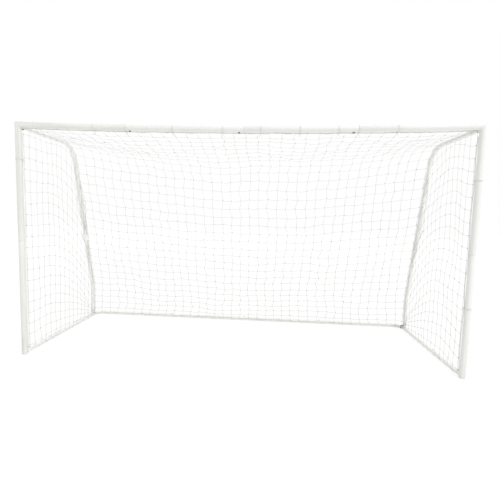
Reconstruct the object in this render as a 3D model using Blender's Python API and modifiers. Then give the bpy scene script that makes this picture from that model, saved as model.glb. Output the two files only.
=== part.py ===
"""A soccer goal of the 12 by 6.5 foot class: a bolted frame of round tube that carries a knotted net.

Metres, +Z up. The goal opens toward -Y, and its ground bars lie on z = 0. The origin is at the middle
of the box that the goal fills, on the ground. The crossbar is four tubes in a row, and the two outer ones
are welded to the upper halves of the posts. Smaller tubes run back from the corners, bend down and end
on a U of ground bars.
"""
import math

import bmesh
import bpy
from mathutils import Matrix, Vector

# Driving dimensions of the front frame
CLEAR_WIDTH = 3.66
FRAME_HEIGHT = 2.000
CROSSBAR_SAG = 0.030
FRONT_RADIUS = 0.025
FRONT_WALL = 0.0020
CROSSBAR_JOINT = 0.930
POST_JOINT_HEIGHT = 1.000

# Driving dimensions of the rear frame
BASE_DEPTH = 1.400
TOP_DEPTH = 0.874
REAR_RADIUS = 0.019
REAR_WALL = 0.0016
TOP_BAR_DROP = 0.008
TOP_BEND_RADIUS = 0.236
GROUND_BEND_RADIUS = 0.090
FOOT_BEND_RADIUS = 0.300
FOOT_BEND_HEIGHT = 0.388
FOOT_SETBACK = 0.020
SIDE_JOINT_DEPTH = 0.505
STANCHION_JOINT = 1.020
SLEEVE_LENGTH = 0.100
SLEEVE_WALL = 0.0030

# Tube joints: a reduced end slides into the next tube, and one bolt holds the two
INSERT_LENGTH = 0.075
INSERT_TAPER = 0.0035
JOINT_CLEARANCE = 0.0006
BOLT_SETBACK = 0.035
BOLT_RADIUS = 0.0040
BOLT_HEAD_RADIUS = 0.0075
BOLT_HEAD_HEIGHT = 0.0055
BOLT_REACH = 0.0120
FIT_GAP = 0.0003

# Foot plugs
FOOT_FLANGE = 0.0015
PLUG_HEIGHT = 0.020
PLUG_WALL = 0.0025

# Net, ropes and ties
TWINE_RADIUS = 0.0022
ROPE_RADIUS = 0.0030
HEAD_ROPE_ANGLE = math.radians(-68)
POST_ROPE_ANGLE = math.radians(45)
NET_PITCH = 0.200
NET_EDGE_SAG = 0.200
NET_EDGE_PULL = 0.060
TIE_WIDTH = 0.008
TIE_THICKNESS = 0.0016
CROSSBAR_TIES = (-1.20, -0.925, -0.54, -0.13, 0.17, 0.48, 0.78, 0.935, 1.23)
POST_TIES = ((-1, 1.69), (1, 1.57), (1, 0.57))

# Facets
FRONT_SIDES = 20
REAR_SIDES = 16
HOLE_SIDES = 6
TIE_SIDES = 12
BAR_STEPS = 8
BEND_STEP = math.radians(15)
CUT_MARGIN = 0.010
NEAR = 0.0001
WELD = 0.000001

# Sizes that follow from the driving dimensions
POST_X = CLEAR_WIDTH / 2 + FRONT_RADIUS
STRAP_REACH = (FRONT_RADIUS + FIT_GAP) / math.cos(math.pi / TIE_SIDES) + TIE_THICKNESS
FRONT_Y = -(BASE_DEPTH + REAR_RADIUS - STRAP_REACH) / 2
REAR_Y = FRONT_Y + BASE_DEPTH
TOP_Y = FRONT_Y + TOP_DEPTH
CORNER_HEIGHT = FRAME_HEIGHT - FRONT_RADIUS
TOP_BAR_HEIGHT = CORNER_HEIGHT - TOP_BAR_DROP
FRONT_INSERT_RADIUS = FRONT_RADIUS - FRONT_WALL - JOINT_CLEARANCE
REAR_INSERT_RADIUS = REAR_RADIUS - REAR_WALL - JOINT_CLEARANCE
SLEEVE_RADIUS = REAR_RADIUS + JOINT_CLEARANCE + SLEEVE_WALL
FRONT_ROPE_OFFSET = FRONT_RADIUS + JOINT_CLEARANCE + ROPE_RADIUS
GROUND_ROPE_OFFSET = REAR_INSERT_RADIUS + ROPE_RADIUS + JOINT_CLEARANCE + FIT_GAP
GROUND_ROPE_RISE = math.sqrt((REAR_RADIUS + JOINT_CLEARANCE + ROPE_RADIUS) ** 2 - GROUND_ROPE_OFFSET**2)
NET_OFFSET = ROPE_RADIUS + TWINE_RADIUS + FIT_GAP
TIED_NET_OFFSET = NET_OFFSET + TIE_THICKNESS + 2 * FIT_GAP
NET_INSET = max(GROUND_ROPE_OFFSET + NET_OFFSET, SLEEVE_RADIUS + JOINT_CLEARANCE + TWINE_RADIUS)
NET_FOOT_HEIGHT = REAR_RADIUS + GROUND_ROPE_RISE
PANEL_GAP = 2 * TWINE_RADIUS + 3 * FIT_GAP
TUBE_FACE = FRONT_Y + FRONT_RADIUS + FIT_GAP
FOOT_Y = REAR_Y - GROUND_BEND_RADIUS - FOOT_SETBACK

SIDES = {"left": -1, "right": 1}
UP, DOWN = Vector((0, 0, 1)), Vector((0, 0, -1))
BACK, AHEAD = Vector((0, 1, 0)), Vector((0, -1, 0))


def new_collection(name):
    """A collection linked to the scene."""
    collection = bpy.data.collections.new(name)
    bpy.context.scene.collection.children.link(collection)
    return collection


def new_material(name, colour, roughness, metallic):
    """A Principled BSDF material."""
    material = bpy.data.materials.new(name)
    material.use_nodes = True
    shader = material.node_tree.nodes["Principled BSDF"]
    shader.inputs["Base Color"].default_value = (*colour, 1.0)
    shader.inputs["Roughness"].default_value = roughness
    shader.inputs["Metallic"].default_value = metallic
    return material


for old in list(bpy.data.objects):
    bpy.data.objects.remove(old, do_unlink=True)

PARTS = new_collection("soccer_goal")
CUTTERS = new_collection("cutters")
PAINT = new_material("white_paint", (0.86, 0.87, 0.84), 0.35, 0.0)
STEEL = new_material("bolt_steel", (0.20, 0.20, 0.20), 0.40, 1.0)
CAP_PLASTIC = new_material("cap_plastic", (0.80, 0.79, 0.68), 0.55, 0.0)
SLEEVE_PLASTIC = new_material("sleeve_plastic", (0.88, 0.88, 0.90), 0.50, 0.0)
ROPE = new_material("white_rope", (0.85, 0.85, 0.82), 0.85, 0.0)
TWINE = new_material("net_twine", (0.84, 0.84, 0.82), 0.80, 0.0)


def add_object(name, mesh, material=None):
    """An object in the parts collection, or a hidden cutter where it has no material."""
    item = bpy.data.objects.new(name, mesh)
    if material:
        mesh.materials.clear()
        mesh.materials.append(material)
        mesh.shade_smooth()
        mesh.set_sharp_from_angle(angle=math.radians(40))
        PARTS.objects.link(item)
    else:
        CUTTERS.objects.link(item)
        item.hide_render = True
        item.display_type = "WIRE"
    return item


def mesh_from(bm, name):
    """A mesh made of a bmesh, with its faces pointing out."""
    bmesh.ops.recalc_face_normals(bm, faces=bm.faces)
    mesh = bpy.data.meshes.new(name)
    bm.to_mesh(mesh)
    bm.free()
    return mesh


def bar_height(x):
    """Height of the crossbar's centre, which sags between the corners in short straight steps."""
    step = 2 * POST_X / BAR_STEPS
    low = math.floor(x / step) * step
    ends = [CORNER_HEIGHT - CROSSBAR_SAG * (1 - (spot / POST_X) ** 2) for spot in (low, low + step)]
    return ends[0] + (ends[1] - ends[0]) * (x - low) / step


def rounded_path(corners, radii):
    """Straight runs through corners, joined by an arc at each inner corner."""
    points = [corners[0]]
    for before, corner, after, radius in zip(corners, corners[1:], corners[2:], radii):
        into = (corner - before).normalized()
        out = (after - corner).normalized()
        turn = into.angle(out)
        axis = into.cross(out).normalized()
        start = corner - into * radius * math.tan(turn / 2)
        centre = start + axis.cross(into) * radius
        steps = max(2, math.ceil(turn / BEND_STEP))
        for step in range(steps + 1):
            spin = Matrix.Rotation(turn * step / steps, 3, axis)
            points.append(centre + spin @ (start - centre))
    points.append(corners[-1])
    return points


def path_lengths(path):
    """Distance along a path to each of its points."""
    lengths = [0.0]
    for a, b in zip(path, path[1:]):
        lengths.append(lengths[-1] + (b - a).length)
    return lengths


def point_along(path, distance):
    """The point that lies a distance along a path."""
    lengths = path_lengths(path)
    for a, b, low, high in zip(path, path[1:], lengths, lengths[1:]):
        if distance <= high or high == lengths[-1]:
            return a.lerp(b, (distance - low) / (high - low))


def cut_path(path, start, end):
    """The stretch of a path between two distances along it."""
    inner = [p for p, d in zip(path, path_lengths(path)) if start + NEAR < d < end - NEAR]
    return [point_along(path, start), *inner, point_along(path, end)]


def swept_mesh(name, path, radii, sides, capped, turned=False):
    """The surface of a round bar along a path, with its own radius at each point.

    A turned bar has its facets a quarter step round, so that its edges miss those of the tube it meets.
    """
    curve = bpy.data.curves.new(name, "CURVE")
    curve.dimensions = "3D"
    curve.bevel_depth = 1.0
    curve.bevel_resolution = (sides - 4) // 2
    curve.use_fill_caps = capped
    spline = curve.splines.new("POLY")
    spline.points.add(len(path) - 1)
    for point, place, radius in zip(spline.points, path, radii):
        point.co = (*place, 1.0)
        point.radius = radius
        point.tilt = math.pi / sides / 2 if turned else 0.0
    guide = bpy.data.objects.new(name, curve)
    bpy.context.scene.collection.objects.link(guide)
    depsgraph = bpy.context.evaluated_depsgraph_get()
    mesh = bpy.data.meshes.new_from_object(guide.evaluated_get(depsgraph))
    bpy.data.objects.remove(guide)
    bm = bmesh.new()
    bm.from_mesh(mesh)
    bmesh.ops.remove_doubles(bm, verts=bm.verts, dist=WELD)
    bmesh.ops.recalc_face_normals(bm, faces=bm.faces)
    bm.to_mesh(mesh)
    bm.free()
    return mesh


def rod(name, path, radius, sides, material=None):
    """A solid round bar along a path. Those without a material are tools, with turned facets."""
    mesh = swept_mesh(name, path, [radius] * len(path), sides, True, turned=not material)
    return add_object(name, mesh, material)


def tube(name, path, radius, wall, sides, material):
    """A hollow tube along a path. radius is one value, or one for each point."""
    radii = radius if isinstance(radius, list) else [radius] * len(path)
    item = add_object(name, swept_mesh(name, path, radii, sides, False), material)
    shell = item.modifiers.new("wall", "SOLIDIFY")
    shell.thickness = wall
    shell.offset = -1.0
    shell.use_even_offset = True
    return item


def insert_profile(path, radius, insert_radius):
    """The points and radii of a bar along a path whose last stretch is reduced to fit the next tube."""
    seam = path_lengths(path)[-1] - INSERT_LENGTH
    body = cut_path(path, 0.0, seam - INSERT_TAPER)
    points = [*body, point_along(path, seam), path[-1]]
    return points, [radius] * len(body) + [insert_radius] * 2


def tube_with_insert(name, path, radius, insert_radius, wall, sides):
    """A tube along a path, its last stretch reduced."""
    points, radii = insert_profile(path, radius, insert_radius)
    return tube(name, points, radii, wall, sides, PAINT)


def combine(item, other, operation):
    """A Boolean modifier on item."""
    boolean = item.modifiers.new(other.name, "BOOLEAN")
    boolean.operation = operation
    boolean.object = other
    boolean.solver = "EXACT"


def lofted_mesh(name, rings):
    """A solid through a row of rings that have the same number of points, closed by flat ends."""
    bm = bmesh.new()
    rows = [[bm.verts.new(point) for point in ring] for ring in rings]
    for near, far in zip(rows, rows[1:]):
        for a, b, c, d in zip(near, near[1:] + near[:1], far[1:] + far[:1], far):
            bm.faces.new((a, b, c, d))
    bm.faces.new(rows[0])
    bm.faces.new(rows[-1])
    return mesh_from(bm, name)


def bolt_mesh():
    """A hexagon head seated at z = 0, with its shank along -Z."""
    sizes = (
        (BOLT_RADIUS, -BOLT_REACH),
        (BOLT_RADIUS, 0),
        (BOLT_HEAD_RADIUS, 0),
        (BOLT_HEAD_RADIUS, BOLT_HEAD_HEIGHT),
    )
    turns = [math.pi * step / 3 for step in range(6)]
    rings = [[Vector((r * math.cos(a), r * math.sin(a), z)) for a in turns] for r, z in sizes]
    return lofted_mesh("bolt", rings)


BOLT = bolt_mesh()


def bolt(name, axis_point, outward, tube_radius, tubes):
    """A bolt whose head bears on a tube, and its hole in each of the tubes it holds."""
    turn = Vector((0, 0, 1)).rotation_difference(outward).to_matrix().to_4x4()
    place = Matrix.Translation(axis_point + outward * (tube_radius + FIT_GAP)) @ turn
    item = add_object(name, BOLT.copy(), STEEL)
    item.matrix_world = place
    depth = tube_radius - BOLT_REACH - FIT_GAP
    ends = [axis_point + outward * depth, axis_point + outward * (tube_radius + CUT_MARGIN)]
    hole = rod(f"{name}_hole", ends, (BOLT_RADIUS + FIT_GAP) / math.cos(math.pi / HOLE_SIDES), HOLE_SIDES)
    for held in tubes:
        combine(held, hole, "DIFFERENCE")


def corner_mesh(name, side, radius, insert_radius, overrun):
    """The solid of one front corner: an upright leg and the crossbar's arm, mitred where they meet.

    overrun lengthens both open ends, for the tool that bores the corner out.
    """
    turns = [2 * math.pi * step / FRONT_SIDES for step in range(FRONT_SIDES)]
    circle = [(math.cos(turn), math.sin(turn)) for turn in turns]
    foot = Vector((side * POST_X, FRONT_Y, POST_JOINT_HEIGHT - overrun))
    mitre = Vector((side * POST_X, FRONT_Y, CORNER_HEIGHT))
    rings = [
        [foot + Vector((c, s, 0)) * radius for c, s in circle],
        [mitre + Vector((c, s, side * c)) * radius for c, s in circle],
    ]
    arm = [(p.x, radius) for p in crossbar_path(POST_X, CROSSBAR_JOINT + INSERT_TAPER)[1:]]
    arm += [(spot, insert_radius) for spot in (CROSSBAR_JOINT, CROSSBAR_JOINT - INSERT_LENGTH - overrun)]
    for spot, ring_radius in arm:
        centre = Vector((side * spot, FRONT_Y, bar_height(spot)))
        rings.append([centre + Vector((0, s, side * c)) * ring_radius for c, s in circle])
    return lofted_mesh(name, rings)


def add_spigot(target, centre, direction, tube_radius):
    """A short reduced tube welded to a tube's outside, for the next tube to slide over."""
    start = centre + direction * tube_radius * 0.78
    end = centre + direction * (tube_radius + INSERT_LENGTH)
    welded = rod(f"{target.name}_spigot", [start, end], REAR_INSERT_RADIUS, REAR_SIDES)
    combine(target, welded, "UNION")


def bore_spigot(target, centre, direction, tube_radius):
    """The bore of a welded spigot, which stops at the wall that carries it."""
    start = centre + direction * (tube_radius + FIT_GAP)
    end = start + direction * (INSERT_LENGTH + CUT_MARGIN)
    bore = rod(f"{target.name}_spigot_bore", [start, end], REAR_INSERT_RADIUS - REAR_WALL, REAR_SIDES)
    combine(target, bore, "DIFFERENCE")


def crossbar_path(start, end):
    """Points along the sagging crossbar's centre line, one at each of its steps."""
    low, high = min(start, end), max(start, end)
    steps = [POST_X * (2 * i / BAR_STEPS - 1) for i in range(BAR_STEPS + 1)]
    spots = [low, *(x for x in steps if low + NEAR < x < high - NEAR), high]
    return [Vector((x, FRONT_Y, bar_height(x))) for x in (spots if start < end else spots[::-1])]


def build_front_frame():
    """Corners, crossbar tubes, lower posts and foot plugs."""
    frame = {}
    for label, side in SIDES.items():
        frame[f"{label}_corner"] = build_corner(f"{label}_corner", side)
        frame[f"{label}_post"] = build_post(f"{label}_post", side)
        build_foot_cap(f"{label}_foot_cap", side)

    seam = BOLT_SETBACK
    path = crossbar_path(-CROSSBAR_JOINT + FIT_GAP, seam - FIT_GAP)
    frame["crossbar_left"] = tube("crossbar_left", path, FRONT_RADIUS, FRONT_WALL, FRONT_SIDES, PAINT)
    path = crossbar_path(CROSSBAR_JOINT - FIT_GAP, seam - INSERT_LENGTH)
    frame["crossbar_right"] = tube_with_insert(
        "crossbar_right", path, FRONT_RADIUS, FRONT_INSERT_RADIUS, FRONT_WALL, FRONT_SIDES
    )
    return frame


def build_corner(name, side):
    """The welded corner of a post and the crossbar, with a spigot for the top bar."""
    inner, insert_inner = FRONT_RADIUS - FRONT_WALL, FRONT_INSERT_RADIUS - FRONT_WALL
    item = add_object(name, corner_mesh(name, side, FRONT_RADIUS, FRONT_INSERT_RADIUS, 0.0), PAINT)
    top = Vector((side * POST_X, FRONT_Y, TOP_BAR_HEIGHT))
    add_spigot(item, top, BACK, FRONT_RADIUS)
    bore = corner_mesh(f"{name}_bore", side, inner, insert_inner, CUT_MARGIN)
    combine(item, add_object(f"{name}_bore", bore), "DIFFERENCE")
    bore_spigot(item, top, BACK, FRONT_RADIUS)
    return item


def build_post(name, side):
    """The lower half of a post, with a reduced upper end and a spigot for the side bar."""
    inner, insert_inner = FRONT_RADIUS - FRONT_WALL, FRONT_INSERT_RADIUS - FRONT_WALL
    foot = Vector((side * POST_X, FRONT_Y, FOOT_FLANGE + FIT_GAP))
    seam = Vector((side * POST_X, FRONT_Y, POST_JOINT_HEIGHT - FIT_GAP))
    path = [foot, seam - UP * INSERT_TAPER, seam, seam + UP * INSERT_LENGTH]
    mesh = swept_mesh(name, path, [FRONT_RADIUS] * 2 + [FRONT_INSERT_RADIUS] * 2, FRONT_SIDES, True)
    item = add_object(name, mesh, PAINT)
    low = Vector((side * POST_X, FRONT_Y, REAR_RADIUS))
    add_spigot(item, low, BACK, FRONT_RADIUS)
    path = [foot - UP * CUT_MARGIN, *path[1:3], path[3] + UP * CUT_MARGIN]
    bore = swept_mesh(f"{name}_bore", path, [inner] * 2 + [insert_inner] * 2, FRONT_SIDES, True)
    combine(item, add_object(f"{name}_bore", bore), "DIFFERENCE")
    bore_spigot(item, low, BACK, FRONT_RADIUS)
    return item


def build_foot_cap(name, side):
    """A flanged plug, hollow from above, turned from one profile."""
    outer = FRONT_RADIUS - FRONT_WALL - JOINT_CLEARANCE
    profile = (
        (0.0, FOOT_FLANGE + PLUG_WALL),
        (outer - PLUG_WALL, FOOT_FLANGE + PLUG_WALL),
        (outer - PLUG_WALL, PLUG_HEIGHT),
        (outer, PLUG_HEIGHT),
        (outer, FOOT_FLANGE),
        (FRONT_RADIUS, FOOT_FLANGE),
        (FRONT_RADIUS, 0.0),
        (0.0, 0.0),
    )
    bm = bmesh.new()
    verts = [bm.verts.new((radius, 0, height)) for radius, height in profile]
    for a, b in zip(verts, verts[1:]):
        bm.edges.new((a, b))
    mesh = bpy.data.meshes.new(name)
    bm.to_mesh(mesh)
    bm.free()
    cap = add_object(name, mesh, CAP_PLASTIC)
    cap.location = (side * POST_X, FRONT_Y, 0)
    screw = cap.modifiers.new("turn", "SCREW")
    screw.steps = FRONT_SIDES
    screw.render_steps = FRONT_SIDES
    screw.use_merge_vertices = True
    screw.merge_threshold = 1e-5
    screw.use_smooth_shade = False


def rear_path(side, inset=0.0, end=2 * REAR_RADIUS + FIT_GAP):
    """Centre line of a top bar and its stanchion, from the front corner down to the height end."""
    x = side * (POST_X - inset)
    corners = [
        Vector((x, TUBE_FACE, TOP_BAR_HEIGHT)),
        Vector((x, TOP_Y, TOP_BAR_HEIGHT)),
        Vector((x, FOOT_Y, FOOT_BEND_HEIGHT)),
        Vector((x, FOOT_Y, end)),
    ]
    return rounded_path(corners, (TOP_BEND_RADIUS, FOOT_BEND_RADIUS))


def joint_distance():
    """Distance along a rear path to the middle of the stanchion's joint."""
    turn = math.atan2(TOP_BAR_HEIGHT - FOOT_BEND_HEIGHT, FOOT_Y - TOP_Y)
    shortcut = TOP_BEND_RADIUS * (2 * math.tan(turn / 2) - turn)
    return TOP_Y - TUBE_FACE + STANCHION_JOINT - shortcut


def ground_path(inset, height):
    """Centre line of the ground U, from the left post's foot to the right one's."""
    x, y = POST_X - inset, REAR_Y - inset
    corners = [
        Vector((-x, TUBE_FACE, height)),
        Vector((-x, y, height)),
        Vector((x, y, height)),
        Vector((x, TUBE_FACE, height)),
    ]
    radius = GROUND_BEND_RADIUS - inset
    return rounded_path(corners, (radius, radius))


def build_rear_frame():
    """Top bars, stanchions, sleeves and the ground U."""
    frame = {}
    tube_sizes = (REAR_RADIUS, REAR_WALL, REAR_SIDES, PAINT)
    insert_sizes = (REAR_RADIUS, REAR_INSERT_RADIUS, REAR_WALL, REAR_SIDES)
    joint = joint_distance()
    for label, side in SIDES.items():
        path = rear_path(side)
        upper = cut_path(path, 0.0, joint - FIT_GAP)
        lower = cut_path(path, joint + FIT_GAP, path_lengths(path)[-1])
        frame[f"{label}_top_bar"] = tube(f"{label}_top_bar", upper, *tube_sizes)
        frame[f"{label}_stanchion"] = tube(f"{label}_stanchion", lower, *tube_sizes)
        ends = [point_along(path, joint + half * SLEEVE_LENGTH) for half in (-0.5, 0.5)]
        name = f"{label}_stanchion_sleeve"
        frame[name] = tube(name, ends, SLEEVE_RADIUS, SLEEVE_WALL, REAR_SIDES, SLEEVE_PLASTIC)

    whole = ground_path(0.0, REAR_RADIUS)
    total = path_lengths(whole)[-1]
    side_end = FRONT_Y + SIDE_JOINT_DEPTH - TUBE_FACE
    corner_end = total / 2 - CROSSBAR_JOINT
    middle = total / 2 + BOLT_SETBACK
    for label in SIDES:
        path = whole if label == "left" else whole[::-1]
        side_path = cut_path(path, 0.0, side_end - FIT_GAP + INSERT_LENGTH)
        corner_path = cut_path(path, side_end, corner_end + INSERT_LENGTH)
        frame[f"{label}_side_bar"] = tube_with_insert(f"{label}_side_bar", side_path, *insert_sizes)
        frame[f"{label}_ground_corner"] = build_ground_corner(label, corner_path)
    left_path = cut_path(whole, corner_end + FIT_GAP, middle - FIT_GAP)
    right_path = cut_path(whole, middle - INSERT_LENGTH, total - corner_end - FIT_GAP)[::-1]
    frame["rear_bar_left"] = tube("rear_bar_left", left_path, *tube_sizes)
    frame["rear_bar_right"] = tube_with_insert("rear_bar_right", right_path, *insert_sizes)
    return frame


def build_ground_corner(label, path):
    """A bent rear corner with a reduced end toward the rear bar and a welded upright spigot."""
    name = f"{label}_ground_corner"
    points, radii = insert_profile(path, REAR_RADIUS, REAR_INSERT_RADIUS)
    item = add_object(name, swept_mesh(name, points, radii, REAR_SIDES, True), PAINT)
    foot = Vector((SIDES[label] * POST_X, FOOT_Y, REAR_RADIUS))
    add_spigot(item, foot, UP, REAR_RADIUS)
    before = (path[0] - path[1]).normalized()
    after = (path[-1] - path[-2]).normalized()
    points = [path[0] + before * CUT_MARGIN, *points[1:-1], path[-1] + after * CUT_MARGIN]
    bore = swept_mesh(f"{name}_bore", points, [radius - REAR_WALL for radius in radii], REAR_SIDES, True)
    combine(item, add_object(f"{name}_bore", bore), "DIFFERENCE")
    bore_spigot(item, foot, UP, REAR_RADIUS)
    return item


def build_bolts(pieces):
    """One bolt through each tube joint, entered from one side."""

    def fasten(name, place, outward, tube_radius, *held):
        bolt(name, place, outward, tube_radius, [pieces[piece] for piece in held])

    reach = CROSSBAR_JOINT - BOLT_SETBACK
    behind = FRONT_Y + FRONT_RADIUS + BOLT_SETBACK
    for label, x, front, rear in (
        ("left", -reach, ("left_corner", "crossbar_left"), ("left_ground_corner", "rear_bar_left")),
        ("middle", 0.0, ("crossbar_left", "crossbar_right"), ("rear_bar_left", "rear_bar_right")),
        ("right", reach, ("right_corner", "crossbar_right"), ("right_ground_corner", "rear_bar_right")),
    ):
        place = Vector((x, FRONT_Y, bar_height(x)))
        fasten(f"crossbar_bolt_{label}", place, DOWN, FRONT_RADIUS, *front)
        fasten(f"rear_bolt_{label}", Vector((x, REAR_Y, REAR_RADIUS)), UP, REAR_RADIUS, *rear)

    for label, side in SIDES.items():
        x = side * POST_X
        corner, post, side_bar = f"{label}_corner", f"{label}_post", f"{label}_side_bar"
        ground, stanchion = f"{label}_ground_corner", f"{label}_stanchion"
        place = Vector((x, FRONT_Y, POST_JOINT_HEIGHT + BOLT_SETBACK))
        fasten(f"{label}_post_bolt", place, BACK, FRONT_RADIUS, corner, post)
        place = Vector((x, behind, TOP_BAR_HEIGHT))
        fasten(f"{label}_top_bolt", place, DOWN, REAR_RADIUS, corner, f"{label}_top_bar")
        place = Vector((x, behind, REAR_RADIUS))
        fasten(f"{label}_foot_bolt", place, UP, REAR_RADIUS, post, side_bar)
        place = Vector((x, FRONT_Y + SIDE_JOINT_DEPTH + BOLT_SETBACK, REAR_RADIUS))
        fasten(f"{label}_side_bolt", place, UP, REAR_RADIUS, side_bar, ground)
        place = Vector((x, FOOT_Y, 2 * REAR_RADIUS + BOLT_SETBACK))
        fasten(f"{label}_stanchion_bolt", place, AHEAD, REAR_RADIUS, ground, stanchion)

        path, joint = rear_path(side), joint_distance()
        place = point_along(path, joint + SLEEVE_LENGTH / 4)
        along = point_along(path, joint + SLEEVE_LENGTH / 2) - place
        outward = Vector((1, 0, 0)).cross(along).normalized()
        outward = outward if outward.y > 0 else -outward
        fasten(f"{label}_sleeve_bolt", place, outward, SLEEVE_RADIUS, f"{label}_stanchion_sleeve", stanchion)


def head_rope_offset():
    """From the crossbar's centre to the head rope's."""
    return Vector((0, math.cos(HEAD_ROPE_ANGLE), math.sin(HEAD_ROPE_ANGLE))) * FRONT_ROPE_OFFSET


def post_rope_offset(side):
    """From a post's centre to its rope's, inward and back."""
    return Vector((-side * math.cos(POST_ROPE_ANGLE), math.sin(POST_ROPE_ANGLE), 0)) * FRONT_ROPE_OFFSET


def build_ropes():
    """The ropes that hold the net's edges along the tubes."""
    sides = 8
    end = POST_X - FRONT_RADIUS - 2 * ROPE_RADIUS
    head = [p + head_rope_offset() for p in crossbar_path(-end, end)]
    rod("head_rope", head, ROPE_RADIUS, sides, ROPE)
    for label, side in SIDES.items():
        base = Vector((side * POST_X, FRONT_Y, 0)) + post_rope_offset(side)
        low, high = 3 * REAR_RADIUS, CORNER_HEIGHT - 2 * FRONT_RADIUS
        rod(f"{label}_post_rope", [base + Vector((0, 0, z)) for z in (low, high)], ROPE_RADIUS, sides, ROPE)
    ground = ground_path(GROUND_ROPE_OFFSET, NET_FOOT_HEIGHT)
    stretch = cut_path(ground, REAR_RADIUS, path_lengths(ground)[-1] - REAR_RADIUS)
    rod("ground_rope", stretch, ROPE_RADIUS, sides, ROPE)


def tie_loop(offset, tube_radius, sides, grow):
    """The outline of a strap pulled round a tube and the rope beside it, in the strap's own plane."""
    reach = offset.length
    heading = math.atan2(offset.y, offset.x)
    big = (tube_radius + FIT_GAP) / math.cos(math.pi / sides) + grow
    small = (ROPE_RADIUS + FIT_GAP) / math.cos(math.pi / 6) + grow
    spread = math.acos((big - small) / reach)
    points = []
    for step in range(sides + 1):
        angle = heading + spread + (2 * math.pi - 2 * spread) * step / sides
        points.append(Vector((math.cos(angle), math.sin(angle))) * big)
    for step in range(3):
        angle = heading - spread + spread * step
        points.append(offset + Vector((math.cos(angle), math.sin(angle))) * small)
    return points


def tie(name, centre, frame, offset):
    """A flat strap round a front tube and its rope, as a filled outline extruded to the strap's width."""
    curve = bpy.data.curves.new(name, "CURVE")
    curve.dimensions = "2D"
    curve.fill_mode = "BOTH"
    curve.extrude = TIE_WIDTH / 2
    for grow in (0.0, TIE_THICKNESS):
        outline = tie_loop(offset, FRONT_RADIUS, TIE_SIDES, grow)
        spline = curve.splines.new("POLY")
        spline.points.add(len(outline) - 1)
        spline.use_cyclic_u = True
        for point, place in zip(spline.points, outline):
            point.co = (place.x, place.y, 0, 1)
    guide = bpy.data.objects.new(name, curve)
    bpy.context.scene.collection.objects.link(guide)
    mesh = bpy.data.meshes.new_from_object(guide.evaluated_get(bpy.context.evaluated_depsgraph_get()))
    bpy.data.objects.remove(guide)
    bm = bmesh.new()
    bm.from_mesh(mesh)
    bmesh.ops.remove_doubles(bm, verts=bm.verts, dist=WELD)
    bmesh.ops.recalc_face_normals(bm, faces=bm.faces)
    bm.to_mesh(mesh)
    bm.free()
    item = add_object(name, mesh, ROPE)
    item.matrix_world = Matrix.Translation(centre) @ frame


def build_ties():
    """Straps round the crossbar and the posts, where they hold the net's ropes."""
    upright = Matrix(((0, 0, 1), (1, 0, 0), (0, 1, 0))).to_4x4()
    rope = head_rope_offset()
    for number, x in enumerate(CROSSBAR_TIES, 1):
        tie(f"crossbar_tie_{number}", Vector((x, FRONT_Y, bar_height(x))), upright, Vector((rope.y, rope.z)))
    for number, (side, height) in enumerate(POST_TIES, 1):
        rope = post_rope_offset(side)
        place = Vector((side * POST_X, FRONT_Y, height))
        tie(f"post_tie_{number}", place, Matrix.Identity(4), Vector((rope.x, rope.y)))


def bend_distance(path):
    """Distance along a rear path to the middle of its upper bend."""
    turn = math.atan2(TOP_BAR_HEIGHT - FOOT_BEND_HEIGHT, FOOT_Y - TOP_Y)
    return TOP_Y - path[0].y + TOP_BEND_RADIUS * (turn / 2 - math.tan(turn / 2))


def patch(low, high, left, right):
    """The surface between four edges, as the point at a share of its width and of its height.

    Columns of the net end on low and high, and rows on left and right. Each edge gives the point at a share
    of its length.
    """

    def surface(u, v):
        across = low(u).lerp(high(u), v)
        along = left(v).lerp(right(v), u)
        corners = low(0).lerp(low(1), u).lerp(high(0).lerp(high(1), u), v)
        return across + along - corners

    return surface


def net_panel(name, surface, columns, rows, start=0.0, end=1.0):
    """A panel of net on a stretch of a surface's width: a grid, each line of it a twine."""
    bm = bmesh.new()
    bmesh.ops.create_grid(bm, x_segments=columns, y_segments=rows, size=0.5)
    for vert in bm.verts:
        vert.co = surface(start + (end - start) * (vert.co.x + 0.5), vert.co.y + 0.5)
    mesh = bpy.data.meshes.new(name)
    bm.to_mesh(mesh)
    bm.free()
    item = add_object(name, mesh, TWINE)
    twine = item.modifiers.new("twine", "WIREFRAME")
    twine.thickness = 2 * TWINE_RADIUS
    twine.use_boundary = True
    twine.use_replace = True
    twine.use_even_offset = True


def straight(start, end):
    """The edge of a panel along a straight line."""
    return lambda share: start.lerp(end, share)


def along_path(path, start, end):
    """The edge of a panel along a path, between two distances."""
    return lambda share: point_along(path, start + (end - start) * share)


def free_edge(end, lift):
    """The net's upper rear edge, which hangs in a curve between the two upper bends."""

    def edge(share):
        hang = 4 * share * (1 - share)
        x = end.x * (2 * share - 1)
        return Vector((x, end.y - NET_EDGE_PULL * hang, end.z + lift - NET_EDGE_SAG * hang))

    return edge


def head_edge(end):
    """The net's upper front edge, behind the rope that hangs under the crossbar."""

    def edge(share):
        x = end * (2 * share - 1)
        return Vector((x, FRONT_Y, bar_height(x))) + head_rope_offset() + Vector((0, TIED_NET_OFFSET, 0))

    return edge


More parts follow.
